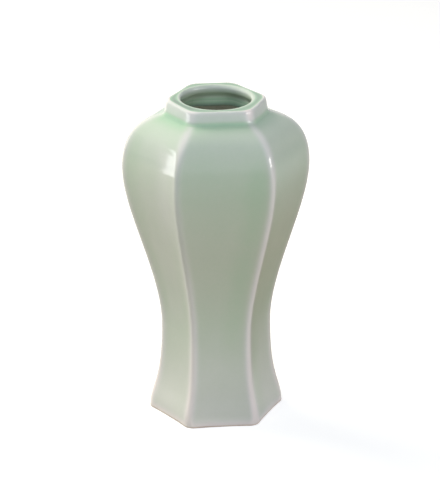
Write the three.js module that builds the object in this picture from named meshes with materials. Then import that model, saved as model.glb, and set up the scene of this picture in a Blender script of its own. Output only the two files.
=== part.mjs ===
// A six-sided ceramic vase with a narrow waist, a swelling shoulder and a low hexagonal collar.
//
// Millimetres, +Z up. The origin is the middle of the standing face, one flat panel looks along -Y,
// and two of the six ridges lie on the X axis.
//
// Four pieces are built and luted together: the foot ring, the floor that lies in it, the wall that
// stands on it, and the collar that sits on the wall's shoulder.

import * as THREE from "three";

// Height of the vase at the middle of its lip, height of its collar there, and how much higher the
// lip is at the back than in front
const vaseHeight = 250;
const collarHeight = 11.5;
const lipRise = 3.2;

// The wall, measured from the axis to the crest of a ridge, and the heights of its turning points
const footRadius = 51.8;
const waistRadius = 42.2;
const waistHeight = 70;
const bellyRadius = 71;
const bellyHeight = 197.5;

// How far the profile keeps its direction at each turning point
const footRise = 18;
const waistRunDown = 50;
const waistRunUp = 41;
const bellyRunDown = 35.5;
const bellyRunUp = 31;
const shoulderRun = 13.5;
const shoulderFall = 3.5;

// The six panels and the ridges between them
const panelCount = 6;
const panelHollow = 1.3;
const hollowPower = 6;
const ridgeRound = 3.4;
const seatBlend = 24;

// The ridges are rounder at the foot, and get there over this height
const footRound = 6;
const footBlend = 22;

// Wall, floor and foot
const wallThickness = 5;
const floorThickness = 5;
const floorRecess = 4.5;
const bareEdge = 1.4;
const groundEdgeRound = 1;
const ledgeWidth = 4;
const lutingClearance = 0.3;

// Mouth and collar
const mouthRadius = 26.6;
const lipWidth = 7;
const lipDepth = 4.5;
const lipUndercut = 3.5;
const lipEdgeRound = 1.6;
const mouthEdgeRound = 3.8;
const collarFlare = 1.7;
const collarRound = 5;
const collarFillet = 1;

// The collar is wider in front than a regular hexagon and narrower at the back, and the shoulder
// takes this up close to it
const frontSplay = 0.22;
const backSplay = 0.13;
const splayPower = 8;

// Fineness of the surfaces
const ridgeSteps = 3;
const panelSteps = 6;
const footToWaistSteps = 8;
const waistToBellySteps = 11;
const bellyToSeatSteps = 10;
const insideStride = 2;
const edgeSteps = 3;

// Values that follow from the ones above
const halfPanelAngle = Math.PI / panelCount;
const seatHeight = vaseHeight - collarHeight;

// A section of the vase is a hexagon with hollow sides and rounded corners. It is described by the
// radius to its corner crest, the depth of the hollow and the set-back of the rounding from a corner.
function sideOfSection(hollow, setBack) {
  // One side of a hexagon whose sharp corners lie 1 from the axis: x runs along it, y points out
  const halfSide = Math.sin(halfPanelAngle);
  const apothem = Math.cos(halfPanelAngle);
  const x = halfSide - setBack;
  const share = x / halfSide;
  const y = apothem - hollow * (1 - share ** hollowPower);
  const slope = (hollow * hollowPower * share ** (hollowPower - 1)) / halfSide;
  const start = new THREE.Vector2(x, y);
  const corner = new THREE.Vector2(halfSide, apothem);
  const reach = (y - slope * x) / (apothem - slope * halfSide);
  const control = corner.clone().multiplyScalar(reach);
  const end = start.clone().sub(corner.clone().multiplyScalar(2 * start.dot(corner))).negate();
  return { halfSide, apothem, start, bend: new THREE.QuadraticBezierCurve(start, control, end) };
}

// The points of one side, from the crest of one corner to just before the crest of the next
function sidePoints(hollow, setBack) {
  const side = sideOfSection(hollow, setBack);
  const points = [];
  for (let step = 0; step < ridgeSteps; step += 1) {
    const onBend = side.bend.getPoint(0.5 - (0.5 * step) / ridgeSteps);
    points.push(new THREE.Vector2(-onBend.x, onBend.y));
  }
  for (let step = 0; step < panelSteps; step += 1) {
    const x = side.start.x * ((2 * step) / panelSteps - 1);
    const share = Math.abs(x) / side.halfSide;
    points.push(new THREE.Vector2(x, side.apothem - hollow * (1 - share ** hollowPower)));
  }
  for (let step = 0; step < ridgeSteps; step += 1) {
    points.push(side.bend.getPoint((0.5 * step) / ridgeSteps));
  }
  return points;
}

// One ring of points at one height: a hexagonal section, or a circle where round is 1. Where splay
// is 1 the ring has the collar's width in front and at the back. A ring with a slope rises backwards.
function ring({ radius, height, setBack, hollow = 0, round = 0, splay = 0, slope = 0 }) {
  const side = sidePoints(hollow / radius, setBack / radius);
  const crest = side[0].length();
  const points = [];
  for (let panel = 0; panel < panelCount; panel += 1) {
    const turn = -Math.PI / 2 + (panel * 2 * Math.PI) / panelCount;
    for (const { x, y } of side) {
      const angle = turn + Math.atan2(x, y);
      const reach = THREE.MathUtils.lerp(Math.hypot(x, y) / crest, 1, round) * radius;
      const backward = Math.sin(angle);
      const wider = -backward * (backward < 0 ? frontSplay : backSplay);
      const across = reach * Math.cos(angle) * (1 + wider * splay * (1 - round));
      const deep = reach * backward;
      points.push(new THREE.Vector3(across, deep, height + slope * deep));
    }
  }
  return points;
}

// Skins a stack of rings. A looped stack closes on itself, and another one is closed by flat caps.
function loft(rings, looped) {
  const around = rings[0].length;
  const positions = rings.flat().flatMap((point) => point.toArray());
  const faces = [];
  const bands = looped ? rings.length : rings.length - 1;
  for (let band = 0; band < bands; band += 1) {
    const low = band * around;
    const high = ((band + 1) % rings.length) * around;
    for (let step = 0; step < around; step += 1) {
      const next = (step + 1) % around;
      faces.push(low + step, low + next, high + next);
      faces.push(low + step, high + next, high + step);
    }
  }
  if (!looped) {
    const top = (rings.length - 1) * around;
    const bottomMiddle = positions.length / 3;
    positions.push(0, 0, rings[0][0].z);
    positions.push(0, 0, rings.at(-1)[0].z);
    for (let step = 0; step < around; step += 1) {
      const next = (step + 1) % around;
      faces.push(bottomMiddle, next, step);
      faces.push(bottomMiddle + 1, top + step, top + next);
    }
  }
  const geometry = new THREE.BufferGeometry();
  geometry.setAttribute("position", new THREE.Float32BufferAttribute(positions, 3));
  geometry.setIndex(faces);
  geometry.computeVertexNormals();
  return geometry;
}

// Radius to the crest of a section whose flat panels lie this far from the axis
function crestRadius(apothem, setBack) {
  const sharp = apothem / Math.cos(halfPanelAngle);
  return sharp - (setBack * Math.sin(halfPanelAngle)) / 2;
}

// The collar and the seat under it
const lipRadius = crestRadius(mouthRadius + lipWidth, collarRound);
const collarRootRadius = lipRadius + collarFlare;
const seatRadius = collarRootRadius + collarFillet;
const openingRadius = collarRootRadius - wallThickness / Math.cos(halfPanelAngle);

// The profile of a ridge: x is the distance from the axis and y the height
function ridgeProfile() {
  const point = (radius, height) => new THREE.Vector2(radius, height);
  const foot = new THREE.CubicBezierCurve(
    point(footRadius, 0),
    point(footRadius, footRise),
    point(waistRadius, waistHeight - waistRunDown),
    point(waistRadius, waistHeight),
  );
  const swell = new THREE.CubicBezierCurve(
    point(waistRadius, waistHeight),
    point(waistRadius, waistHeight + waistRunUp),
    point(bellyRadius, bellyHeight - bellyRunDown),
    point(bellyRadius, bellyHeight),
  );
  const shoulder = new THREE.CubicBezierCurve(
    point(bellyRadius, bellyHeight),
    point(bellyRadius, bellyHeight + bellyRunUp),
    point(seatRadius + shoulderRun, seatHeight - shoulderFall),
    point(seatRadius, seatHeight),
  );
  return { foot, swell, shoulder };
}
const profile = ridgeProfile();
const crestThickness = wallThickness / Math.cos(halfPanelAngle);

// A place on the profile, or the place this deep in the wall behind it
function profilePoint(curve, share, depth = 0) {
  const tangent = curve.getTangent(share);
  const out = new THREE.Vector2(tangent.y, -tangent.x);
  return curve.getPoint(share).addScaledVector(out, -depth);
}

// The share of the profile at which it reaches a height, found by halving
function shareAtHeight(curve, height, depth = 0) {
  let low = 0;
  let high = 1;
  while (high - low > 1e-6) {
    const middle = (low + high) / 2;
    if (profilePoint(curve, middle, depth).y < height) {
      low = middle;
    } else {
      high = middle;
    }
  }
  return low;
}

function footRadiusAt(height, depth = 0) {
  const share = shareAtHeight(profile.foot, height, depth);
  return profilePoint(profile.foot, share, depth).x;
}

// Places along the whole profile, from a height on the foot up to the seat
function placesAlong(lowest, depth = 0) {
  const places = [];
  const start = shareAtHeight(profile.foot, lowest, depth);
  for (let step = 0; step < footToWaistSteps; step += 1) {
    const share = THREE.MathUtils.lerp(start, 1, step / footToWaistSteps);
    places.push(profilePoint(profile.foot, share, depth));
  }
  for (let step = 0; step < waistToBellySteps; step += 1) {
    places.push(profilePoint(profile.swell, step / waistToBellySteps, depth));
  }
  for (let step = 0; step <= bellyToSeatSteps; step += 1) {
    places.push(profilePoint(profile.shoulder, step / bellyToSeatSteps, depth));
  }
  places[0].y = lowest;
  return places;
}

// The floor lies inside the wall, and the foot ring's rebate has the same outline
const floorTop = floorRecess + floorThickness;
const floorRadius = footRadiusAt(floorTop, crestThickness) - lutingClearance;

// Below the seat the hollow of the panels fades out and the ridges widen to the collar's corners
function fadeToSeat(height) {
  return THREE.MathUtils.smoothstep(height, seatHeight - seatBlend, seatHeight);
}

// A section of the wall, and of what lies inside it, at this crest radius
function sectionAt(radius, height) {
  const fade = fadeToSeat(height);
  const above = THREE.MathUtils.smoothstep(height, 0, footBlend);
  const lowRound = THREE.MathUtils.lerp(footRound, ridgeRound, above);
  return ring({
    radius,
    height,
    hollow: panelHollow * (1 - fade),
    setBack: THREE.MathUtils.lerp(lowRound, collarRound, fade),
    splay: fade * Math.min((seatRadius / radius) ** splayPower, 1),
  });
}

// A ring with a rounded ground edge, a rebate that the wall stands in and a ledge for the floor
function footRing() {
  const wallSeat = footRadiusAt(bareEdge);
  const opening = floorRadius - ledgeWidth;
  const edge = Math.min(groundEdgeRound, bareEdge);
  const rings = [];
  for (let step = 0; step <= edgeSteps; step += 1) {
    const angle = (Math.PI / 2) * (step / edgeSteps);
    const radius = footRadius - edge * (1 - Math.sin(angle));
    rings.push(sectionAt(radius, edge * (1 - Math.cos(angle))));
  }
  rings.push(sectionAt(wallSeat, bareEdge));
  rings.push(sectionAt(floorRadius, bareEdge));
  rings.push(sectionAt(floorRadius, floorRecess));
  rings.push(sectionAt(opening, floorRecess));
  rings.push(sectionAt(opening, edge));
  rings.push(sectionAt(opening + edge, 0));
  return loft(rings, true);
}

// A slab that lies on the ledge of the foot ring
function baseFloor() {
  return loft([sectionAt(floorRadius, floorRecess), sectionAt(floorRadius, floorTop)], false);
}

// The wall goes up on the outside, in over the seat, through the opening and down on the inside
function bodyWall() {
  const outside = placesAlong(bareEdge);
  const shelfUnderside = seatHeight - wallThickness;
  const inside = placesAlong(bareEdge, crestThickness)
    .filter((place, index) => index % insideStride === 0)
    .filter(({ y }) => y < shelfUnderside);
  const opening = { radius: openingRadius, setBack: collarRound, splay: 1 };
  const rings = [
    ...outside.map(({ x, y }) => sectionAt(x, y)),
    ring({ ...opening, height: seatHeight }),
    ring({ ...opening, height: shelfUnderside }),
    ...inside.reverse().map(({ x, y }) => sectionAt(x, y)),
  ];
  return loft(rings, true);
}

// The collar has a small fillet at its root, a rounded lip, a rounded edge into the round mouth, and
// widens below the lip to the six-sided opening of the wall
function neckCollar() {
  const fullSlope = lipRise / (2 * (mouthRadius + lipWidth));
  const collarRing = (radius, height, round = 0) => {
    const slope = (fullSlope * (height - seatHeight)) / collarHeight;
    return ring({ radius, height, setBack: collarRound, round, splay: 1, slope });
  };
  const rings = [];
  for (let step = 0; step <= edgeSteps; step += 1) {
    const angle = (Math.PI / 2) * (step / edgeSteps);
    const radius = collarRootRadius + collarFillet * (1 - Math.sin(angle));
    rings.push(collarRing(radius, seatHeight + collarFillet * (1 - Math.cos(angle))));
  }
  for (let step = 0; step <= edgeSteps; step += 1) {
    const angle = (Math.PI / 2) * (step / edgeSteps);
    const radius = lipRadius - lipEdgeRound * (1 - Math.cos(angle));
    rings.push(collarRing(radius, vaseHeight - lipEdgeRound * (1 - Math.sin(angle))));
  }
  for (let step = 0; step <= edgeSteps; step += 1) {
    const angle = (Math.PI / 2) * (step / edgeSteps);
    const radius = mouthRadius + mouthEdgeRound * (1 - Math.sin(angle));
    rings.push(collarRing(radius, vaseHeight - mouthEdgeRound * (1 - Math.cos(angle)), 1));
  }
  const lipUnderside = vaseHeight - lipDepth;
  rings.push(collarRing(mouthRadius, lipUnderside, 1));
  rings.push(collarRing(openingRadius, lipUnderside - lipUndercut));
  rings.push(collarRing(openingRadius, seatHeight));
  return loft(rings, true);
}

// Glossy pale green glaze, and the bare white body of the clay with a warm cast
const glaze = { color: 0xb9c9b6, roughness: 0.12, metalness: 0 };
const bareClay = { color: 0xd9c7bb, roughness: 0.75, metalness: 0 };

const vase = new THREE.Group();
const pieces = [
  ["foot_ring", footRing(), bareClay],
  ["base_floor", baseFloor(), glaze],
  ["body_wall", bodyWall(), glaze],
  ["neck_collar", neckCollar(), glaze],
];
for (const [name, geometry, finish] of pieces) {
  const mesh = new THREE.Mesh(geometry, new THREE.MeshStandardMaterial(finish));
  mesh.name = name;
  vase.add(mesh);
}

export default vase;
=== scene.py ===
"""A six-sided celadon vase on a plain white floor.

Everything is in metres, in the frame of the solids: the origin is the middle of the standing face,
one flat panel looks along -Y and two of the six ridges lie on the X axis. The glazed and bare
surfaces are lofted finely over much the same profile and sections as the solids that they replace.
"""

import math

import bpy
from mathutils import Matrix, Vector, noise


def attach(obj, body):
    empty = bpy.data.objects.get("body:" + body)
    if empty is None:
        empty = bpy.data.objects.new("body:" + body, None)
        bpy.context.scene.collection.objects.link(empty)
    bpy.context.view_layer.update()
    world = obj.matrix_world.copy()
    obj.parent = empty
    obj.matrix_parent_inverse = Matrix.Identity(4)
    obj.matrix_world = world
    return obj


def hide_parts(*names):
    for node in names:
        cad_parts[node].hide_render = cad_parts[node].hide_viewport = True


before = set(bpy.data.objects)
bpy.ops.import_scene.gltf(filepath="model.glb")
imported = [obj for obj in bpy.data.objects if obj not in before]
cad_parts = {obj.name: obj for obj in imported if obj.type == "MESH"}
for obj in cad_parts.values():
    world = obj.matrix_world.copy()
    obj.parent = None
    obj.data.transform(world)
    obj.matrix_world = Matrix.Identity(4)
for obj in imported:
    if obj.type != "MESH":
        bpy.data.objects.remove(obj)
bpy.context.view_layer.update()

MM = 0.001

# The wall: distances from the axis to the crest of a ridge, and the heights of its turning points
VASE_HEIGHT = 250 * MM
COLLAR_HEIGHT = 11.5 * MM
LIP_RISE = 3.2 * MM
FOOT_RADIUS = 51.8 * MM
WAIST_RADIUS = 42.2 * MM
WAIST_HEIGHT = 70 * MM
BELLY_RADIUS = 71 * MM
BELLY_HEIGHT = 197.5 * MM
SEAT_HEIGHT = VASE_HEIGHT - COLLAR_HEIGHT

# How far the profile keeps its direction at each turning point
FOOT_RISE = 18 * MM
WAIST_RUN_DOWN = 50 * MM
WAIST_RUN_UP = 41 * MM
BELLY_RUN_DOWN = 35.5 * MM
BELLY_RUN_UP = 31 * MM
SHOULDER_RUN = 13.5 * MM
SHOULDER_FALL = 3.5 * MM

# The six panels and the ridges between them
PANELS = 6
HALF_PANEL = math.pi / PANELS
PANEL_HOLLOW = 1.3 * MM
HOLLOW_POWER = 3
RIDGE_ROUND = 3.4 * MM
FOOT_ROUND = 6 * MM
FOOT_BLEND = 22 * MM
SEAT_BLEND = 24 * MM

# Wall, floor and foot
WALL_THICKNESS = 5 * MM
FLOOR_THICKNESS = 5 * MM
FLOOR_RECESS = 4.5 * MM
BARE_EDGE = 1.4 * MM
GROUND_EDGE_ROUND = 1 * MM
LEDGE_WIDTH = 4 * MM
LUTING_CLEARANCE = 0.3 * MM

# The wall is set in a little everywhere, and unevenly between foot and shoulder
SET_IN = 0.045 * MM
UNEVENNESS = 0.16 * MM
UNEVENNESS_SCALE = 34 * MM
UNEVENNESS_STRETCH = 0.6
UNEVEN_HEIGHTS = (4 * MM, 24 * MM, 214 * MM, 234 * MM)

# Mouth and collar
MOUTH_RADIUS = 26.2 * MM
LIP_WIDTH = 7.4 * MM
LIP_DEPTH = 3.9 * MM
LIP_UNDERCUT = 5.5 * MM
LIP_EDGE_ROUND = 2.2 * MM
MOUTH_EDGE_ROUND = 2.4 * MM
SHELF_EDGE_ROUND = 1.5 * MM
COLLAR_FLARE = 1.7 * MM
COLLAR_ROUND = 6.4 * MM
COLLAR_FILLET = 1 * MM
FRONT_SPLAY = 0.14
BACK_SPLAY = 0.13
SPLAY_POWER = 8
GLAZE_FILLET = 4 * MM

# The glaze is 1 thick on the even part of a panel, and where it is thinner the pale clay shows.
# The pale crests of the ridges are that thin glaze and also a painted highlight along them
PALE_CREST_AND_HIGHLIGHT = 0.7
SHOULDER_PALE_CREST_AND_HIGHLIGHT = 0.45
SHOULDER_CREST_HEIGHTS = (205 * MM, 230 * MM)
FRONT_CREST_WIDTH = 3 * MM
SIDE_CREST_WIDTH = 4.5 * MM
# Painted shade: from the waist up, the ridge at the left of the front panel keeps more glaze and is
# darker
LEFT_RIDGE_SHADE = 0.58
LEFT_RIDGE_HEIGHTS = (80 * MM, 160 * MM)

# The ridges of the collar and of the inside, as a share of how pale the wall's ridges are outside
COLLAR_RIDGES = 0.8
INSIDE_RIDGES = 0.4

# How much thinner the glaze is near the foot, on the shoulder, on the collar and on edges, and
# inside, where the thinner glaze is painted light
FOOT_THINNING = 0.37
FOOT_THINNING_TOP = 105 * MM
FOOT_EDGE_THINNING = 0.55
FOOT_EDGE_WIDTH = 3.2 * MM
SHOULDER_THINNING = 0.1
SHOULDER_THINNING_HEIGHTS = (205 * MM, 228 * MM)
INSIDE_PAINTED_LIGHT = 0.4
COLLAR_THINNING = 0.3
COLLAR_THINNING_HEIGHTS = (SEAT_HEIGHT + 1 * MM, SEAT_HEIGHT + 4.5 * MM)
LIP_EDGE_THINNING = 0.2
LIP_EDGE_WIDTH = 3 * MM
MOUTH_EDGE_THINNING = 0.3
MOUTH_EDGE_DEPTH = 1.4 * MM
MOUTH_EDGE_WIDTH = 1.8 * MM

# How much thicker it is where it pools: in the collar's crease, on the flat of the lip and on the
# floor.
# Inside the collar and on the shelf under it, thicker glaze is painted shade, darker deeper in the
# mouth
CREASE_POOL = 0.35
CREASE_POOL_UP = 3 * MM
CREASE_POOL_DOWN = 9.5 * MM
LIP_POOL = 0.75
LIP_EVEN_POOL = 0.1
COLLAR_INSIDE_SHADE = 0.05
COLLAR_FOOT_SHADE = 0.5
SHELF_SHADE = 1.0
UNDERSIDE_POOL = 0.1
FLOOR_POOL = 0.3

# Bands beside a ridge, of thicker glaze for painted shade in front and at the right and of thinner
# glaze for painted light at the left: distance from the crest, width, difference
FRONT_SHADE_BAND = (12 * MM, 9 * MM, 0.12)
FRONT_SHADE_BAND_HEIGHTS = (40 * MM, 70 * MM, 195 * MM, 225 * MM)
RIGHT_SHADE_BAND = (12 * MM, 9 * MM, 0.15)
RIGHT_SHADE_BAND_HEIGHTS = (50 * MM, 80 * MM)
LEFT_LIGHT_BAND = (14 * MM, 11 * MM, -0.3)
LEFT_LIGHT_BAND_HEIGHTS = (135 * MM, 185 * MM, 215 * MM, 230 * MM)

# The left panel is painted lighter with thinner glaze in its middle, and has more of what pools
# under the collar
LEFT_MIDDLE_PAINTED_LIGHT = 0.11
LEFT_MIDDLE_SHARES = (0.2, 0.45)
LEFT_MIDDLE_HEIGHTS = (60 * MM, 95 * MM, 222 * MM, 236 * MM)
LEFT_EXTRA_POOL = 0.4
LEFT_POOL_FROM_CREST = (1 * MM, 9 * MM)

# Fineness of the surfaces
RIDGE_STEPS = 6
PANEL_STEPS = 30
PROFILE_STEPS = 48
EDGE_STEPS = 8
FLOOR_RINGS = (0.25, 0.6, 1.0)
SHARP_ANGLE = math.radians(50)


def mix(low, high, share):
    return low + (high - low) * share


def smooth(value, low, high):
    """Goes from 0 at low to 1 at high, level at both ends."""
    share = min(max((value - low) / (high - low), 0), 1)
    return share * share * (3 - 2 * share)


def plateau(value, low, level, fall, high):
    """Rises from 0 to 1 between low and level, and goes back to 0 between fall and high."""
    return smooth(value, low, level) * (1 - smooth(value, fall, high))


def bell(distance, width):
    """1 at no distance, about a third at the width and hardly anything at twice that."""
    return math.exp(-((distance / width) ** 2))


def direction(bearing, rise=0.0):
    """A unit vector: its bearing from the X axis and its rise above the floor, in degrees."""
    across = math.radians(bearing)
    up = math.radians(rise)
    return Vector((math.cos(across) * math.cos(up), math.sin(across) * math.cos(up), math.sin(up)))


# Sections of the vase: a hexagon with hollow sides and rounded corners


def side_of_section(hollow, set_back):
    """Points of one side of a hexagon whose sharp corners lie 1 from the axis, crest to crest."""
    half_side = math.sin(HALF_PANEL)
    apothem = math.cos(HALF_PANEL)
    x = half_side - set_back
    share = x / half_side
    y = apothem - hollow * (1 - share**HOLLOW_POWER)
    slope = hollow * HOLLOW_POWER * share ** (HOLLOW_POWER - 1) / half_side
    start = Vector((x, y))
    corner = Vector((half_side, apothem))
    control = corner * ((y - slope * x) / (apothem - slope * half_side))
    end = corner * (2 * start.dot(corner)) - start

    def bend(place):
        return start * (1 - place) ** 2 + control * (2 * place * (1 - place)) + end * place**2

    points = []
    for step in range(RIDGE_STEPS):
        on_bend = bend(0.5 - 0.5 * step / RIDGE_STEPS)
        points.append((-on_bend.x, on_bend.y))
    for step in range(PANEL_STEPS):
        along = x * math.sin(math.pi * (step / PANEL_STEPS - 0.5))
        share = abs(along) / half_side
        points.append((along, apothem - hollow * (1 - share**HOLLOW_POWER)))
    for step in range(RIDGE_STEPS):
        on_bend = bend(0.5 * step / RIDGE_STEPS)
        points.append((on_bend.x, on_bend.y))
    return points


def ring(radius, height, set_back, hollow=0.0, round_share=0.0, splay=0.0, slope=0.0):
    """Positions round the vase at one height, each with its distance from the nearest crest.

    Where splay is 1 the ring has the collar's width in front and at the back, and with a slope it
    rises backwards.
    """
    side = side_of_section(hollow / radius, set_back / radius)
    crest = math.hypot(*side[0])
    run = [0.0]
    for here, there in zip(side, side[1:]):
        run.append(run[-1] + math.dist(here, there))
    whole = run[-1] + math.dist(side[-1], (-side[0][0], side[0][1]))
    places = []
    for panel in range(PANELS):
        turn = -math.pi / 2 + panel * 2 * math.pi / PANELS
        for (x, y), along in zip(side, run):
            angle = turn + math.atan2(x, y)
            reach = mix(math.hypot(x, y) / crest, 1, round_share) * radius
            backward = math.sin(angle)
            wider = -backward * (FRONT_SPLAY if backward < 0 else BACK_SPLAY)
            across = reach * math.cos(angle) * (1 + wider * splay * (1 - round_share))
            deep = reach * backward
            place = Vector((across, deep, height + slope * deep))
            places.append((place, min(along, whole - along) * radius / crest))
    return places


def section_at(radius, height):
    """A section of the wall.

    The ridges are rounder near the foot and near the seat, and at the seat the hollow is gone.
    """
    fade = smooth(height, SEAT_HEIGHT - SEAT_BLEND, SEAT_HEIGHT)
    splay = fade * min((SEAT_RADIUS / radius) ** SPLAY_POWER, 1)
    low_round = mix(FOOT_ROUND, RIDGE_ROUND, smooth(height, 0, FOOT_BLEND))
    set_back = mix(low_round, COLLAR_ROUND, fade)
    return ring(radius, height, set_back, PANEL_HOLLOW * (1 - fade), 0.0, splay)


def collar_section(radius, height, round_share=0.0):
    """A section of the collar, whose lip rises backwards."""
    above_seat = max(height - SEAT_HEIGHT, 0)
    slope = LIP_RISE / (2 * (MOUTH_RADIUS + LIP_WIDTH)) * above_seat / COLLAR_HEIGHT
    return ring(radius, height, COLLAR_ROUND, 0.0, round_share, 1.0, slope)


# The profile of a ridge


def crest_radius(apothem, set_back):
    return apothem / math.cos(HALF_PANEL) - set_back * math.sin(HALF_PANEL) / 2


LIP_RADIUS = crest_radius(MOUTH_RADIUS + LIP_WIDTH, COLLAR_ROUND)
COLLAR_ROOT_RADIUS = LIP_RADIUS + COLLAR_FLARE
SEAT_RADIUS = COLLAR_ROOT_RADIUS + COLLAR_FILLET
CREST_THICKNESS = WALL_THICKNESS / math.cos(HALF_PANEL)
OPENING_RADIUS = COLLAR_ROOT_RADIUS - CREST_THICKNESS

FOOT_CURVE = [
    (FOOT_RADIUS, 0),
    (FOOT_RADIUS, FOOT_RISE),
    (WAIST_RADIUS, WAIST_HEIGHT - WAIST_RUN_DOWN),
    (WAIST_RADIUS, WAIST_HEIGHT),
]
SWELL_CURVE = [
    (WAIST_RADIUS, WAIST_HEIGHT),
    (WAIST_RADIUS, WAIST_HEIGHT + WAIST_RUN_UP),
    (BELLY_RADIUS, BELLY_HEIGHT - BELLY_RUN_DOWN),
    (BELLY_RADIUS, BELLY_HEIGHT),
]
SHOULDER_CURVE = [
    (BELLY_RADIUS, BELLY_HEIGHT),
    (BELLY_RADIUS, BELLY_HEIGHT + BELLY_RUN_UP),
    (SEAT_RADIUS + SHOULDER_RUN, SEAT_HEIGHT - SHOULDER_FALL),
    (SEAT_RADIUS, SEAT_HEIGHT),
]


def on_curve(curve, share, depth=0.0):
    """A point of a cubic curve, or the point this deep in the wall behind it."""
    a, b, c, d = (Vector(point) for point in curve)
    rest = 1 - share
    point = a * rest**3 + b * (3 * rest**2 * share) + c * (3 * rest * share**2) + d * share**3
    tangent = (b - a) * rest**2 + (c - b) * (2 * rest * share) + (d - c) * share**2
    tangent.normalize()
    return point - Vector((tangent.y, -tangent.x)) * depth


def share_at_height(curve, height, depth=0.0):
    low = 0.0
    high = 1.0
    close_enough = 1e-9
    while high - low > close_enough:
        middle = (low + high) / 2
        if on_curve(curve, middle, depth).y < height:
            low = middle
        else:
            high = middle
    return low


def wall_places(lowest, depth=0.0, steps=PROFILE_STEPS):
    """Distance from the axis and height of places up the whole wall, from the foot to the seat."""
    start = share_at_height(FOOT_CURVE, lowest, depth)
    places = [on_curve(FOOT_CURVE, mix(start, 1, step / steps), depth) for step in range(steps)]
    places += [on_curve(SWELL_CURVE, step / steps, depth) for step in range(steps)]
    places += [on_curve(SHOULDER_CURVE, step / steps, depth) for step in range(steps + 1)]
    places[0].y = lowest
    return places


def arc(centre, radius, start, end, steps=EDGE_STEPS):
    """Places on an arc, angles in degrees from the outward direction."""
    places = []
    for step in range(steps + 1):
        angle = math.radians(mix(start, end, step / steps))
        places.append(centre + Vector((math.cos(angle), math.sin(angle))) * radius)
    return places


def collar_side():
    """The fillet of glaze in the crease and the leaning side of the collar up to its lip."""
    slope = math.degrees(math.atan2(SHOULDER_FALL, SHOULDER_RUN))
    side_height = COLLAR_HEIGHT - COLLAR_FILLET - LIP_EDGE_ROUND
    lean = math.degrees(math.atan2(COLLAR_FLARE, side_height))
    seat = Vector((SEAT_RADIUS, SEAT_HEIGHT))
    root = Vector((COLLAR_ROOT_RADIUS, SEAT_HEIGHT + COLLAR_FILLET))
    up_slope = Vector((math.sin(math.radians(slope)), math.cos(math.radians(slope))))
    off_side = Vector((math.cos(math.radians(lean)), math.sin(math.radians(lean))))
    reach_slope = up_slope.dot(seat) + GLAZE_FILLET
    reach_side = off_side.dot(root) + GLAZE_FILLET
    cross = up_slope.x * off_side.y - up_slope.y * off_side.x
    centre = Vector(
        (
            (reach_slope * off_side.y - reach_side * up_slope.y) / cross,
            (up_slope.x * reach_side - off_side.x * reach_slope) / cross,
        )
    )
    fillet = arc(centre, GLAZE_FILLET, 270 - slope, 180 + lean, 2 * EDGE_STEPS)
    lip_centre = Vector((LIP_RADIUS - LIP_EDGE_ROUND, VASE_HEIGHT - LIP_EDGE_ROUND))
    lip = arc(lip_centre, LIP_EDGE_ROUND, lean, 90)
    straight = [fillet[-1].lerp(lip[0], step / EDGE_STEPS) for step in range(1, EDGE_STEPS)]
    return fillet, straight + lip


def split_fillet(fillet):
    """The fillet crosses the joint between wall and collar: the two parts share that place."""
    clear = 0.05 * MM
    below = [place for place in fillet if place.y < SEAT_HEIGHT - clear]
    above = [place for place in fillet if place.y > SEAT_HEIGHT + clear]
    share = (SEAT_HEIGHT - below[-1].y) / (above[0].y - below[-1].y)
    joint = below[-1].lerp(above[0], share)
    return below + [joint], [joint] + above


# Places that several pieces share

fillet, collar_up = collar_side()
fillet_below, fillet_above = split_fillet(fillet)
crease = fillet[len(fillet) // 2]
shelf_underside = SEAT_HEIGHT - WALL_THICKNESS
floor_top = FLOOR_RECESS + FLOOR_THICKNESS
inner_share = share_at_height(FOOT_CURVE, floor_top, CREST_THICKNESS)
floor_radius = on_curve(FOOT_CURVE, inner_share, CREST_THICKNESS).x - LUTING_CLEARANCE


# Meshes


def build(name, rings, looped=True):
    """Skins a stack of rings. A ring is a list of places and a list of their glaze thicknesses."""
    around = len(rings[0][0])
    points = []
    thickness = []
    for places, coats in rings:
        points += places
        thickness += coats
    faces = []
    bands = len(rings) if looped else len(rings) - 1
    for band in range(bands):
        low = band * around
        high = (band + 1) % len(rings) * around
        for step in range(around):
            there = (step + 1) % around
            faces.append((low + step, low + there, high + there, high + step))
    if not looped:
        top = (len(rings) - 1) * around
        for end in (rings[0][0], rings[-1][0]):
            points.append(sum(end, Vector()) / around)
            thickness.append(1.0)
        for step in range(around):
            there = (step + 1) % around
            faces.append((len(points) - 2, there, step))
            faces.append((len(points) - 1, top + step, top + there))
    mesh = bpy.data.meshes.new(name)
    mesh.from_pydata(points, [], faces)
    layer = mesh.attributes.new("glaze_thickness", "FLOAT", "POINT")
    layer.data.foreach_set("value", thickness)
    mesh.shade_smooth()
    mesh.set_sharp_from_angle(angle=SHARP_ANGLE)
    mesh.update()
    piece = bpy.data.objects.new(name, mesh)
    bpy.context.scene.collection.objects.link(piece)
    return piece


def pooled(place):
    """How much thicker the glaze lies near the collar's crease. It reaches further down than up."""
    off = place - crease
    return CREASE_POOL * bell(off.length, CREASE_POOL_UP if off.y > 0 else CREASE_POOL_DOWN)


def band(from_crest, middle, width, difference):
    return difference * bell(from_crest - middle, width)


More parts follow.
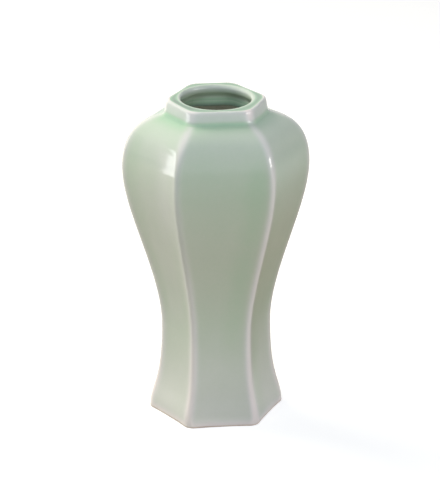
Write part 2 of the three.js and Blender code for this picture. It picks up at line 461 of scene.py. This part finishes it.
def difference_of_panel(place, turn, from_crest, pool):
    """How much thicker or thinner the glaze lies on the three panels in front than on the others,
    as painted shade and light, and as more pooling under the collar at the left.

    The turn is the bearing from the middle of the front panel, and goes up towards the right.
    """
    # Thicker bands beside the right front ridge paint shade; at the left, a thinner band and middle
    # paint light
    if 0 < turn <= HALF_PANEL:
        return band(from_crest, *FRONT_SHADE_BAND) * plateau(place.z, *FRONT_SHADE_BAND_HEIGHTS)
    if HALF_PANEL < turn < 2 * HALF_PANEL:
        return band(from_crest, *RIGHT_SHADE_BAND) * (1 - smooth(place.z, *RIGHT_SHADE_BAND_HEIGHTS))
    if not -3 * HALF_PANEL < turn < -HALF_PANEL:
        return 0
    difference = LEFT_EXTRA_POOL * pool * smooth(from_crest, *LEFT_POOL_FROM_CREST)
    middle = smooth(from_crest / math.hypot(place.x, place.y), *LEFT_MIDDLE_SHARES)
    # Painted light: the middle of the left panel is paler
    difference -= LEFT_MIDDLE_PAINTED_LIGHT * middle * plateau(place.z, *LEFT_MIDDLE_HEIGHTS)
    if turn > -2 * HALF_PANEL:
        difference += band(from_crest, *LEFT_LIGHT_BAND) * plateau(place.z, *LEFT_LIGHT_BAND_HEIGHTS)
    return difference


def coated(places, ridges=1.0, pool=0.0, thin=0.0):
    """Gives each place of a ring its glaze: thin on the ridges, which also paints their highlight,
    and on edges, thick where it pools.

    The thin part of a ridge is wider on the side panels than on the front and back ones, and less
    pale on the shoulder. From the waist up to there, the ridge at the left of the front panel keeps
    more glaze than the others, which paints shade on it.
    """
    positions = []
    coats = []
    for place, from_crest in places:
        turn = math.atan2(place.x, -place.y)
        on_side_panel = abs(math.cos(turn)) < math.cos(HALF_PANEL)
        width = SIDE_CREST_WIDTH if on_side_panel else FRONT_CREST_WIDTH
        # Painted shade on the ridge at the left of the front panel
        left_ridge_shade = LEFT_RIDGE_SHADE * bell(turn + HALF_PANEL, HALF_PANEL)
        # The pale crest is thin glaze and partly a painted highlight
        bare = PALE_CREST_AND_HIGHLIGHT * ridges * (1 - left_ridge_shade * smooth(place.z, *LEFT_RIDGE_HEIGHTS))
        if place.z < SEAT_HEIGHT:
            on_shoulder = smooth(place.z, *SHOULDER_CREST_HEIGHTS)
            bare = mix(bare, SHOULDER_PALE_CREST_AND_HIGHLIGHT * ridges, on_shoulder)
        coat = 1 - bare * bell(from_crest, width)
        coat += difference_of_panel(place, turn, from_crest, pool)
        coats.append(max(coat + pool - thin, 0))
        positions.append(place)
    return positions, coats


def thrown(place):
    """The slight unevenness of a hand-pressed wall, always inward."""
    between_ends = plateau(place.z, *UNEVEN_HEIGHTS)
    spot = Vector((place.x, place.y, place.z * UNEVENNESS_STRETCH))
    sample = noise.noise(spot / UNEVENNESS_SCALE)
    inward = SET_IN + UNEVENNESS * between_ends * (0.5 + 0.5 * sample)
    flat = Vector((place.x, place.y, 0))
    return place - flat.normalized() * inward


def wall_piece():
    rings = []
    outside = [place for place in wall_places(BARE_EDGE)
               if place.y < BELLY_HEIGHT or place.x > fillet[0].x]
    for place in outside + fillet_below:
        thin = FOOT_EDGE_THINNING * bell(place.y - BARE_EDGE, FOOT_EDGE_WIDTH)
        thin += FOOT_THINNING * (1 - smooth(place.y, 0, FOOT_THINNING_TOP))
        thin += SHOULDER_THINNING * smooth(place.y, *SHOULDER_THINNING_HEIGHTS)
        section = section_at(place.x, place.y)
        positions, coats = coated(section, pool=pooled(place), thin=thin)
        rings.append(([thrown(position) for position in positions], coats))
    rings.append(coated(collar_section(OPENING_RADIUS, SEAT_HEIGHT), ridges=0))
    edge = Vector((OPENING_RADIUS + SHELF_EDGE_ROUND, shelf_underside + SHELF_EDGE_ROUND))
    # Thick glaze on the shelf's edge, deep in the mouth, is painted shade
    for place in arc(edge, SHELF_EDGE_ROUND, 180, 270):
        section = collar_section(place.x, place.y)
        rings.append(coated(section, ridges=0, pool=SHELF_SHADE))
    inside = [place for place in wall_places(BARE_EDGE, CREST_THICKNESS, PROFILE_STEPS // 2)
              if place.y < shelf_underside]
    # Thinner glaze inside paints light into the shade of the inside
    for place in reversed(inside):
        section = section_at(place.x, place.y)
        rings.append(coated(section, INSIDE_RIDGES, thin=INSIDE_PAINTED_LIGHT))
    return build("glazed_wall", rings)


def collar_piece():
    rings = []
    lip_edge = collar_up[-EDGE_STEPS // 2]
    for place in fillet_above + collar_up:
        thin = LIP_EDGE_THINNING * bell((lip_edge - place).length, LIP_EDGE_WIDTH)
        thin += COLLAR_THINNING * smooth(place.y, *COLLAR_THINNING_HEIGHTS)
        section = collar_section(place.x, place.y)
        rings.append(coated(section, COLLAR_RIDGES, pooled(place), thin))
    start = LIP_RADIUS - LIP_EDGE_ROUND
    end = MOUTH_RADIUS + MOUTH_EDGE_ROUND
    for step in range(1, EDGE_STEPS):
        share = step / EDGE_STEPS
        places = collar_section(mix(start, end, share), VASE_HEIGHT, smooth(share, 0, 1))
        pool = LIP_EVEN_POOL + LIP_POOL * math.sin(math.pi * share)
        rings.append(coated(places, ridges=0, pool=pool))
    centre = Vector((end, VASE_HEIGHT - MOUTH_EDGE_ROUND))
    for place in arc(centre, MOUTH_EDGE_ROUND, 90, 180):
        from_edge = VASE_HEIGHT - MOUTH_EDGE_DEPTH - place.y
        thin = MOUTH_EDGE_THINNING * bell(from_edge, MOUTH_EDGE_WIDTH)
        rings.append(coated(collar_section(place.x, place.y, 1.0), ridges=0, thin=thin))
    lip_underside = VASE_HEIGHT - LIP_DEPTH
    # Inside the collar the glaze thickens downwards and is thick at the collar's foot: painted
    # shade
    for step in range(1, EDGE_STEPS + 1):
        share = step / EDGE_STEPS
        radius = mix(MOUTH_RADIUS, OPENING_RADIUS, smooth(share, 0, 1))
        height = lip_underside - LIP_UNDERCUT * share
        places = collar_section(radius, height, 1 - smooth(share, 0, 1))
        rings.append(coated(places, ridges=0, pool=COLLAR_INSIDE_SHADE * share))
    collar_foot = collar_section(OPENING_RADIUS, SEAT_HEIGHT)
    rings.append(coated(collar_foot, ridges=0, pool=COLLAR_FOOT_SHADE))
    return build("glazed_collar", rings)


def foot_piece():
    rings = []
    opening = floor_radius - LEDGE_WIDTH
    ground = Vector((FOOT_RADIUS - GROUND_EDGE_ROUND, GROUND_EDGE_ROUND))
    wall_seat = on_curve(FOOT_CURVE, share_at_height(FOOT_CURVE, BARE_EDGE)).x
    for place in arc(ground, GROUND_EDGE_ROUND, -90, 0):
        rings.append(coated(section_at(place.x, place.y), ridges=0))
    for radius, height in (
        (wall_seat, BARE_EDGE),
        (floor_radius, BARE_EDGE),
        (floor_radius, FLOOR_RECESS),
        (opening, FLOOR_RECESS),
    ):
        rings.append(coated(section_at(radius, height), ridges=0))
    inner = Vector((opening + GROUND_EDGE_ROUND, GROUND_EDGE_ROUND))
    for place in arc(inner, GROUND_EDGE_ROUND, 180, 270):
        rings.append(coated(section_at(place.x, place.y), ridges=0))
    return build("bare_foot_ring", rings)


def floor_piece():
    rings = []
    for share in FLOOR_RINGS:
        section = section_at(floor_radius * share, FLOOR_RECESS)
        rings.append(coated(section, ridges=0, pool=UNDERSIDE_POOL))
    for share in reversed(FLOOR_RINGS):
        section = section_at(floor_radius * share, floor_top)
        rings.append(coated(section, ridges=0, pool=FLOOR_POOL))
    return build("glazed_floor", rings, looped=False)


# Materials

# Painted light: thick glaze is tinted bluer on the upward-facing shoulder, as painted sky light,
# and a little browner under the belly, as a painted warm reflection: a tint for each share of the
# vase's height
PAINTED_LIGHT_TINTS = [
    (0.32, (1, 1, 1)),
    (0.54, (1, 0.9, 0.92)),
    (0.74, (0.99, 0.99, 0.99)),
    (0.95, (0.92, 1, 1)),
]

# The colours of a glaze from bare, 0, to the thickest, 1
THICKEST = 2
CELADON_COLOURS = [
    (0.0, (0.82, 0.75, 0.79)),
    (0.25, (0.64, 0.65, 0.675)),
    (0.5, (0.475, 0.545, 0.458)),
    (0.7, (0.36, 0.55, 0.4)),
    (0.95, (0.24, 0.31, 0.265)),
]
INNER_COLOURS = [
    (0.0, (0.66, 0.64, 0.58)),
    (0.5, (0.44, 0.50, 0.38)),
    (0.95, (0.2, 0.33, 0.2)),
]
CLAY_COLOURS = [
    (0.3, (0.58, 0.45, 0.41)),
    (0.5, (0.68, 0.57, 0.53)),
    (0.75, (0.76, 0.68, 0.65)),
]

# How much the thickness of a glaze varies in clouds and in grains, and the finish of the surfaces
CLOUDS = 0.22
GRAINS = 0.1
GLAZE_ROUGHNESS = 0.06
INNER_ROUGHNESS = 0.08
ROUGHNESS_OF_CLOUDS = 0.05
GLAZE_IOR = 1.5
RIPPLE_DEPTH = 0.03 * MM
CLAY_ROUGHNESS = 0.62
ROUGHNESS_OF_GRAIN = 0.2
GRAIN_DEPTH = 0.05 * MM


def opened(owner, empty=False):
    """The node tree of a material or a world, emptied where it gets shaders of its own."""
    owner.use_nodes = True
    if empty:
        owner.node_tree.nodes.clear()
    return owner.node_tree


def node(tree, kind, inputs=None, **settings):
    made = tree.nodes.new(kind)
    for key, value in settings.items():
        setattr(made, key, value)
    for key, value in (inputs or {}).items():
        if isinstance(value, bpy.types.NodeSocket):
            tree.links.new(value, made.inputs[key])
        else:
            made.inputs[key].default_value = value
    return made


def ramp(tree, value, stops):
    made = node(tree, "ShaderNodeValToRGB", {"Fac": value})
    made.color_ramp.interpolation = "B_SPLINE"
    elements = made.color_ramp.elements
    while len(elements) < len(stops):
        elements.new(0.5)
    for element, (place, colour) in zip(elements, stops):
        element.position = place
        element.color = (*colour, 1)
    return made.outputs["Color"]


def math_node(tree, operation, *values):
    return node(tree, "ShaderNodeMath", dict(enumerate(values)), operation=operation).outputs[0]


def noise_node(tree, place, scale, detail, roughness):
    inputs = {"Vector": place, "Scale": scale, "Detail": detail, "Roughness": roughness}
    return node(tree, "ShaderNodeTexNoise", inputs).outputs["Fac"]


def finish_shader(tree, colour, roughness, relief, strength, depth):
    """Joins a colour, a roughness and a relief of this depth to the shader, and returns it."""
    shader = tree.nodes["Principled BSDF"]
    bump = node(tree, "ShaderNodeBump", {"Height": relief, "Strength": strength, "Distance": depth})
    tree.links.new(colour, shader.inputs["Base Color"])
    tree.links.new(roughness, shader.inputs["Roughness"])
    tree.links.new(bump.outputs["Normal"], shader.inputs["Normal"])
    return shader


def glaze_material(name, colours, roughness):
    """Glass over pale clay. The thickness of the glaze gives the colour, and the height a
    painted-light tint.
    """
    material = bpy.data.materials.new(name)
    tree = opened(material)
    place = node(tree, "ShaderNodeTexCoord").outputs["Object"]
    thickness = node(tree, "ShaderNodeAttribute", attribute_name="glaze_thickness").outputs["Fac"]
    clouds = noise_node(tree, place, scale=26.0, detail=3.0, roughness=0.55)
    grains = noise_node(tree, place, scale=420.0, detail=2.0, roughness=0.6)
    ripple = noise_node(tree, place, scale=120.0, detail=2.0, roughness=0.5)
    coat = thickness
    for spots, amount in ((clouds, CLOUDS), (grains, GRAINS)):
        uneven = math_node(tree, "MULTIPLY_ADD", spots, amount, -amount / 2)
        coat = math_node(tree, "ADD", coat, uneven)
    colour = ramp(tree, math_node(tree, "MULTIPLY", coat, 1 / THICKEST), colours)
    height = node(tree, "ShaderNodeSeparateXYZ", {"Vector": place}).outputs["Z"]
    # Painted light by height: bluer on the shoulder, browner under the belly
    tint = ramp(tree, math_node(tree, "DIVIDE", height, VASE_HEIGHT), PAINTED_LIGHT_TINTS)
    layers = {"Fac": coat, "Color1": colour, "Color2": tint}
    tinted = node(tree, "ShaderNodeMixRGB", layers, blend_type="MULTIPLY").outputs["Color"]
    rough = math_node(tree, "MULTIPLY_ADD", clouds, ROUGHNESS_OF_CLOUDS, roughness)
    shader = finish_shader(tree, tinted, rough, ripple, strength=1.0, depth=RIPPLE_DEPTH)
    shader.inputs["IOR"].default_value = GLAZE_IOR
    return material


def clay_material(name):
    """Bare fired clay: matt, pinkish, with fine grain and a browner flash in places."""
    material = bpy.data.materials.new(name)
    tree = opened(material)
    place = node(tree, "ShaderNodeTexCoord").outputs["Object"]
    flash = noise_node(tree, place, scale=45.0, detail=4.0, roughness=0.6)
    grain = noise_node(tree, place, scale=900.0, detail=3.0, roughness=0.7)
    colour = ramp(tree, flash, CLAY_COLOURS)
    rough = math_node(tree, "MULTIPLY_ADD", grain, ROUGHNESS_OF_GRAIN, CLAY_ROUGHNESS)
    finish_shader(tree, colour, rough, grain, strength=0.8, depth=GRAIN_DEPTH)
    return material


celadon = glaze_material("celadon_glaze", CELADON_COLOURS, GLAZE_ROUGHNESS)
inner_glaze = glaze_material("inner_glaze", INNER_COLOURS, INNER_ROUGHNESS)
bare_clay = clay_material("bare_clay")

for piece, node_name, material, slot in (
    (wall_piece(), "body_wall", celadon, "celadon_glaze"),
    (collar_piece(), "neck_collar", celadon, "celadon_glaze"),
    (foot_piece(), "foot_ring", bare_clay, "bare_clay"),
    (floor_piece(), "base_floor", inner_glaze, "inner_glaze"),
):
    piece.data.materials.append(material)
    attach(piece, "root")
    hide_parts(node_name)


# Floor and world: white where the camera or a reflection meets them

FLOOR_REACH = 4.0
FLOOR_COLOUR = (0.41, 0.42, 0.35, 1)
FLOOR_GLOW_COLOUR = (1, 1, 1.08, 1)
FLOOR_GLOW = 0.74
FILL_COLOUR = (0.85, 1, 1, 1)
FILL_STRENGTH = 0.085
WHITE = (1, 1, 1, 1)

# The cards of painted shade that darken the floor in the glaze's reflections: their colour, how
# finely they are divided and how far out they turn upward
SHADE_CARD_GREY = (0.3, 0.29, 0.24, 1)
CARD_STEPS = 32
CARD_BEND = 0.9


def seen_directly(tree):
    path = node(tree, "ShaderNodeLightPath")
    seen = math_node(tree, "ADD", path.outputs["Is Camera Ray"], path.outputs["Is Glossy Ray"])
    return math_node(tree, "ADD", seen, path.outputs["Is Transmission Ray"])


def staged(name, places, faces, material):
    """A floor or card of the studio, which isn't part of the vase."""
    mesh = bpy.data.meshes.new(name)
    mesh.from_pydata(places, [], faces)
    mesh.materials.append(material)
    made = bpy.data.objects.new(name, mesh)
    bpy.context.scene.collection.objects.link(made)
    return made


def white_floor():
    material = bpy.data.materials.new("studio_floor")
    tree = opened(material, empty=True)
    diffuse = node(tree, "ShaderNodeBsdfDiffuse", {"Color": FLOOR_COLOUR})
    strength = math_node(tree, "MULTIPLY", seen_directly(tree), FLOOR_GLOW)
    glow = node(tree, "ShaderNodeEmission", {"Color": FLOOR_GLOW_COLOUR, "Strength": strength})
    both = node(tree, "ShaderNodeAddShader", {0: diffuse.outputs[0], 1: glow.outputs[0]})
    node(tree, "ShaderNodeOutputMaterial", {"Surface": both.outputs[0]})
    corners = [(-1, -1), (1, -1), (1, 1), (-1, 1)]
    places = [(x * FLOOR_REACH, y * FLOOR_REACH, 0) for x, y in corners]
    staged("studio_floor", places, [(0, 1, 2, 3)], material)


def shade_card(name, full, gone, reach, density):
    """A soft-edged card of painted shade that only the glaze mirrors: it lies on the floor and
    rises at its far end.

    It has faded out at one pair of bearings and is densest between the other pair, and its reach
    says where it starts, is densest and ends, as a path out along the floor and then up. At its
    densest, it covers this much of what is behind it.
    """
    places = []
    opacity = []
    faces = []
    for row in range(CARD_STEPS + 1):
        along = mix(reach[0], reach[3], row / CARD_STEPS)
        distance = min(along, CARD_BEND)
        height = 1 * MM + max(along - CARD_BEND, 0)
        for column in range(CARD_STEPS + 1):
            bearing = mix(gone[0], gone[1], column / CARD_STEPS)
            place = direction(bearing) * distance
            places.append((place.x, place.y, height))
            side = plateau(bearing, gone[0], full[0], full[1], gone[1])
            opacity.append(plateau(along, *reach) * side * density)
            if row < CARD_STEPS and column < CARD_STEPS:
                corner = row * (CARD_STEPS + 1) + column
                above = corner + CARD_STEPS + 1
                faces.append((corner, above, above + 1, corner + 1))
    material = bpy.data.materials.new(name)
    tree = opened(material, empty=True)
    there = node(tree, "ShaderNodeAttribute", attribute_name="opacity").outputs["Fac"]
    clear = node(tree, "ShaderNodeBsdfTransparent")
    grey = node(tree, "ShaderNodeBsdfDiffuse", {"Color": SHADE_CARD_GREY})
    both = node(tree, "ShaderNodeMixShader", {0: there, 1: clear.outputs[0], 2: grey.outputs[0]})
    node(tree, "ShaderNodeOutputMaterial", {"Surface": both.outputs[0]})
    card = staged(name, places, faces, material)
    layer = card.data.attributes.new("opacity", "FLOAT", "POINT")
    layer.data.foreach_set("value", opacity)
    card.visible_camera = False
    card.visible_shadow = False
    card.visible_diffuse = False


def white_world():
    world = bpy.data.worlds.new("studio")
    bpy.context.scene.world = world
    tree = opened(world, empty=True)
    fill = node(tree, "ShaderNodeBackground", {"Color": FILL_COLOUR, "Strength": FILL_STRENGTH})
    white = node(tree, "ShaderNodeBackground", {"Color": WHITE, "Strength": 1.0})
    layers = {0: seen_directly(tree), 1: fill.outputs[0], 2: white.outputs[0]}
    both = node(tree, "ShaderNodeMixShader", layers)
    node(tree, "ShaderNodeOutputWorld", {"Surface": both.outputs[0]})


def lamp(name, place, aim, size, power, colour, mirrored=False, lights=True, only=None):
    """An area lamp. It reaches everything, or one piece alone if that is given.

    The glaze shows it only if it is mirrored, and it may be there for that and light nothing.
    """
    data = bpy.data.lights.new(name, "AREA")
    data.shape = "RECTANGLE"
    data.size, data.size_y = size
    data.energy = power
    data.color = colour
    light = bpy.data.objects.new(name, data)
    light.location = place
    light.rotation_euler = (aim - place).to_track_quat("-Z", "Y").to_euler()
    light.visible_glossy = mirrored
    light.visible_diffuse = lights
    bpy.context.scene.collection.objects.link(light)
    if only is not None:
        reached = bpy.data.collections.new(name)
        reached.objects.link(only)
        light.light_linking.receiver_collection = reached


white_floor()
# Painted shade on the floor as the glaze mirrors it, at the right and in front
shade_card(
    "right_card",
    full=(33, 62),
    gone=(5, 92),
    reach=(0.07, 0.1, 0.22, 0.9),
    density=0.94,
)
shade_card(
    "front_card",
    full=(-110, -60),
    gone=(-130, -40),
    reach=(0.08, 0.4, 1, 1.3),
    density=0.83,
)
white_world()

# The catch light lights nothing: it is only mirrored, along the right front ridge
lamp_aim = Vector((0, 0, 0.15))
for name, bearing, rise, distance, size, power, colour in (
    ("left_key", 140, 40, 1.5, (1, 1), 31, (1, 0.92, 0.73)),
    ("front_light", -120, 49, 1.5, (1, 1), 10.2, (0.92, 0.97, 1)),
    ("right_fill", -30, 5, 1.3, (0.6, 0.35), 4.3, (1, 0.96, 0.9)),
    ("front_fill", -62, 20, 1.3, (0.44, 0.3), 2.9, (1, 0.965, 0.93)),
    ("catch_light", -36, 20, 1.3, (0.8, 0.4), 10.5, (1, 0.98, 0.96)),
):
    place = lamp_aim + direction(bearing, rise) * distance
    catches = name == "catch_light"
    lamp(name, place, lamp_aim, size, power, colour, mirrored=catches, lights=not catches)

# A very weak lamp inside lifts the dark of the mouth
inside = Vector((0, 0, 0.12))
back_of_mouth = Vector((0, 0.03, 0.24))
lamp("light_inside", inside, back_of_mouth, (0.03, 0.03), 0.007, (1, 0.93, 0.6))

# Windows that shine in the shoulder at the left and in the collar's left corner
WINDOW_DISTANCE = 0.8
LEFT_SHOULDER = (-42 * MM, -45 * MM)
WINDOW_COLOUR = (0.97, 0.95, 1)
for name, bearing, height, wide, high, glare, only in (
    ("window", 151.5, 0.185, 0.104, 0.26, 4.2, "glazed_wall"),
    ("window_top", 151, 0.385, 0.062, 0.14, 4.2, "glazed_wall"),
    ("collar_window", 188, 0.272, 0.92, 0.1, 4.1, "glazed_collar"),
):
    aim = Vector((*LEFT_SHOULDER, height))
    place = aim + direction(bearing) * WINDOW_DISTANCE
    power = glare * math.pi * wide * high
    piece = bpy.data.objects[only]
    lamp(name, place, aim, (wide, high), power, WINDOW_COLOUR, mirrored=True, only=piece)

# Camera: the shift is given in pixels of the longer side of the picture

LONGER_SIDE = 500
CAMERA_BEARING = -96.1
CAMERA_RISE = 20.99
CAMERA_DISTANCE = 1.625
TARGET_HEIGHT = 0.12875

target = Vector((0, 0, TARGET_HEIGHT))
towards = direction(CAMERA_BEARING, CAMERA_RISE)
camera_data = bpy.data.cameras.new("camera")
camera_data.lens = 153.07
camera_data.sensor_width = 36
camera_data.shift_x = 3.9 / LONGER_SIDE
camera_data.shift_y = -0.8 / LONGER_SIDE
camera = bpy.data.objects.new("camera", camera_data)
camera.location = target + towards * CAMERA_DISTANCE
camera.rotation_euler = (-towards).to_track_quat("-Z", "Y").to_euler()
bpy.context.scene.collection.objects.link(camera)
bpy.context.scene.camera = camera
bpy.context.scene.view_settings.view_transform = "Standard"
